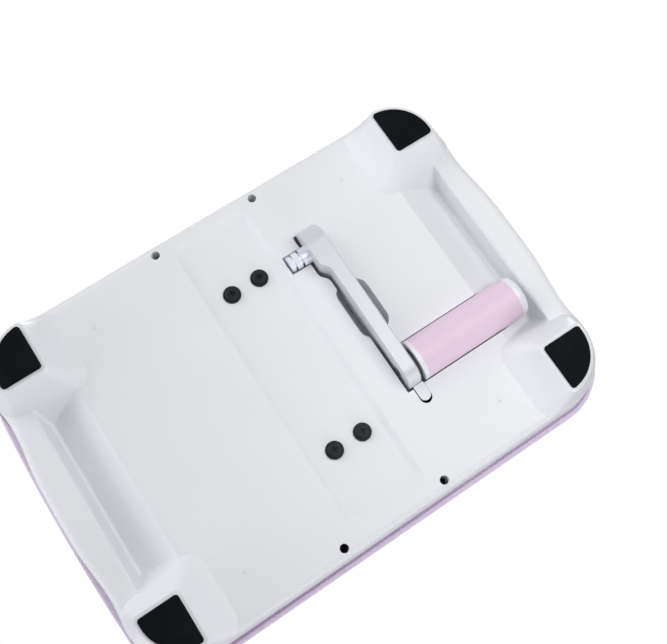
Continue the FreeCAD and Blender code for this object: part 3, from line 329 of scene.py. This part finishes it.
class DIECUT_OT_frame(Step):
    """Grey paint of the roller frame, and its bars, bolts and bushes"""
    bl_idname = "diecut.frame"
    bl_label = "Roller frame"

    def make(self):
        grey = painted("frame_paint", colours().paint, 0.42, 0.00004)
        dress(["side_frame_drive", "side_frame_idle", "gear_plate"], grey)
        bars = bare_metal("bar_steel", shade(colours().steel, 0.9), 0.34)
        dress(["tie_bar_left", "tie_bar_right", "gear_plate_posts", "tie_bolts_idle",
               "tie_bolts_drive"], bars)
        dress(names("bush"), bare_metal("bush_bronze", colours().brass, 0.34))


class DIECUT_OT_rollers(Step):
    """Ground steel rollers, the drive shaft, the gears and their keys and rings"""
    bl_idname = "diecut.rollers"
    bl_label = "Rollers and gears"

    def make(self):
        dress(["upper_roller", "lower_roller"],
              bare_metal("roller_steel", shade(colours().steel, 1.15), 0.20))
        dress(["drive_shaft"], bare_metal("shaft_steel", colours().steel, 0.26))
        gears = bare_metal("gear_steel", shade(colours().steel, 0.72), 0.38)
        dress(["drive_pinion", "drive_gear", "sync_gear_upper", "sync_gear_lower"], gears)
        small = bare_metal("key_steel", shade(colours().steel, 0.6), 0.36)
        dress(["pinion_key", "upper_roller_keys", "lower_roller_key", "drive_shaft_ring",
               "upper_roller_rings", "lower_roller_rings"], small)


class DIECUT_OT_screws(Step):
    """Black frame screws with their washers, the dark housing screws and the latch pin"""
    bl_idname = "diecut.screws"
    bl_label = "Screws"

    def make(self):
        black = painted("screw_black", shade(colours().screw, 1.2), 0.42, 0.00001, 0.0, 0.25)
        dress(["frame_screws", "frame_washers"], black)
        dress(["side_screws", "corner_screws", "tower_screws"],
              painted("screw_dark", shade(colours().screw, 0.6), 0.5, 0.00001, 0.0, 0.12))
        dress(["latch_pin"], bare_metal("pin_steel", shade(colours().steel, 0.8), 0.34, "X"))


class DIECUT_OT_marks(Step):
    """Small round mould marks on the underside"""
    bl_idname = "diecut.marks"
    bl_label = "Mould marks"

    def make(self):
        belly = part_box("latch_tongue")[0].z
        size = sizes()
        mesh = bmesh.new()
        for x in (-size.mark_x, size.mark_x):
            for y in (-size.mark_y, size.mark_y):
                self.mark(mesh, Vector((x, y, belly)), size.mark_radius, size.mark_height)
        data = bpy.data.meshes.new("mould_marks")
        bmesh.ops.recalc_face_normals(mesh, faces=mesh.faces)
        mesh.to_mesh(data)
        mesh.free()
        marks = bpy.data.objects.new("mould_marks", data)
        bpy.context.scene.collection.objects.link(marks)
        data.materials.append(moulded("mark_plastic", shade(colours().tray, 0.93), 0.5))
        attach(marks, "machine")

    def mark(self, mesh, place, radius, height):
        """A low ring with a sunk middle, hanging from the belly."""
        disc = bmesh.ops.create_cone(mesh, cap_ends=True, segments=32, radius1=radius * 0.9,
                                     radius2=radius, depth=height * 2)
        bmesh.ops.translate(mesh, verts=disc["verts"], vec=place)
        low = min((f for v in disc["verts"] for f in v.link_faces),
                  key=lambda f: f.calc_center_median().z)
        bmesh.ops.inset_region(mesh, faces=[low], thickness=radius * 0.35)
        bmesh.ops.translate(mesh, verts=low.verts, vec=(0.0, 0.0, height * 0.7))


class DIECUT_OT_stage(Step):
    """Floor, white surround, soft lamps and the camera under the machine"""
    bl_idname = "diecut.stage"
    bl_label = "Stage"

    def make(self):
        self.floor()
        self.surround()
        for lamp in LAMPS:
            self.lamp(*lamp)
        self.camera()

    def floor(self):
        mesh = bmesh.new()
        bmesh.ops.create_grid(mesh, x_segments=1, y_segments=1, size=FLOOR_HALF)
        bmesh.ops.translate(mesh, verts=mesh.verts, vec=(0.0, 0.0, -FLOOR_DROP))
        data = bpy.data.meshes.new("floor")
        mesh.to_mesh(data)
        mesh.free()
        floor = bpy.data.objects.new("floor", data)
        bpy.context.scene.collection.objects.link(floor)
        s = Shader("floor_paper")
        tone = colours().floor
        drift = s.noise(s.place(), 2.5, 3.0)
        s.set(Base_Color=s.blend(drift, shade(tone, 0.985), shade(tone, 1.01)), Roughness=0.85)
        s.set(Specular_IOR_Level=0.1, Emission_Color=(*tone, 1.0), Emission_Strength=FLOOR_GLOW)
        clear = s.node("ShaderNodeBsdfTransparent")
        under = s.node("ShaderNodeNewGeometry", output="Backfacing")
        both = s.node("ShaderNodeMixShader", {},
                      {0: under, 1: Wire(s, s.main.outputs[0]), 2: clear})
        s.put(s.tree.nodes["Material Output"].inputs["Surface"], both)
        data.materials.append(s.material)
        floor.visible_shadow = False
        floor.visible_diffuse = False
        floor.visible_glossy = False

    def surround(self):
        world = bpy.data.worlds.new("surround")
        world.use_nodes = True
        tree = world.node_tree
        sky = tree.nodes["Background"]
        pole, seen = (tree.nodes.new("ShaderNodeBackground") for _ in range(2))
        white = (1.0, 1.0, 1.0)
        for light, tone, strength in ((sky, SKY_TONE, SKY_STRENGTH), (pole, white, POLE_STRENGTH),
                                      (seen, white, BACKDROP_STRENGTH)):
            light.inputs["Color"].default_value = (*tone, 1.0)
            light.inputs["Strength"].default_value = strength
        spot = tree.nodes.new("ShaderNodeTexCoord")
        split = tree.nodes.new("ShaderNodeSeparateXYZ")
        height = tree.nodes.new("ShaderNodeMath")
        height.operation = "ABSOLUTE"
        path = tree.nodes.new("ShaderNodeLightPath")
        dome, mix = (tree.nodes.new("ShaderNodeMixShader") for _ in range(2))
        for source, target in ((spot.outputs["Generated"], split.inputs[0]),
                               (split.outputs["Z"], height.inputs[0]),
                               (height.outputs[0], dome.inputs[0]),
                               (sky.outputs[0], dome.inputs[1]), (pole.outputs[0], dome.inputs[2]),
                               (path.outputs["Is Camera Ray"], mix.inputs[0]),
                               (dome.outputs[0], mix.inputs[1]), (seen.outputs[0], mix.inputs[2]),
                               (mix.outputs[0], tree.nodes["World Output"].inputs["Surface"])):
            tree.links.new(source, target)
        bpy.context.scene.world = world
        bpy.context.scene.view_settings.view_transform = "Standard"

    def lamp(self, name, place, size, power, tint):
        data = bpy.data.lights.new(name, "AREA")
        data.shape = "DISK"
        data.size = size
        data.energy = power
        data.color = tint
        lamp = bpy.data.objects.new(name, data)
        lamp.location = place
        aim = Vector(LAMP_AIM) - Vector(place)
        lamp.rotation_euler = aim.to_track_quat("-Z", "Y").to_euler()
        lamp.visible_camera = False
        bpy.context.scene.collection.objects.link(lamp)

    def camera(self):
        data = bpy.data.cameras.new("camera_under")
        data.sensor_width = 36.0
        data.lens = CAMERA_LENS
        data.clip_start = 0.02
        camera = bpy.data.objects.new("camera_under", data)
        camera.location = CAMERA_PLACE
        camera.rotation_euler = Euler(CAMERA_TURN, "XYZ")
        bpy.context.scene.collection.objects.link(camera)
        bpy.context.scene.camera = camera


class DIECUT_PT_panel(bpy.types.Panel):
    """Steps and values of the machine's dressing"""
    bl_idname = "DIECUT_PT_panel"
    bl_label = "Die cutting machine"
    bl_space_type = "VIEW_3D"
    bl_region_type = "UI"
    bl_category = "Die cutter"

    def draw(self, context):
        for step in STEPS:
            self.layout.operator(step.bl_idname)
        for group in (context.scene.die_cutter_colours, context.scene.die_cutter_sizes):
            for key in group.__annotations__:
                self.layout.prop(group, key)


STEPS = (DIECUT_OT_stage, DIECUT_OT_tray, DIECUT_OT_deck, DIECUT_OT_pads, DIECUT_OT_crank,
         DIECUT_OT_frame, DIECUT_OT_rollers, DIECUT_OT_screws, DIECUT_OT_marks)
CLASSES = (DieCutterColours, DieCutterSizes, *STEPS, DIECUT_PT_panel)


def register():
    for cls in CLASSES:
        bpy.utils.register_class(cls)
    bpy.types.Scene.die_cutter_colours = PointerProperty(type=DieCutterColours)
    bpy.types.Scene.die_cutter_sizes = PointerProperty(type=DieCutterSizes)


def unregister():
    del bpy.types.Scene.die_cutter_sizes
    del bpy.types.Scene.die_cutter_colours
    for cls in reversed(CLASSES):
        bpy.utils.unregister_class(cls)


def main():
    register()
    for step in STEPS:
        group, name = step.bl_idname.split(".")
        getattr(getattr(bpy.ops, group), name)()


if __name__ == "__main__":
    main()
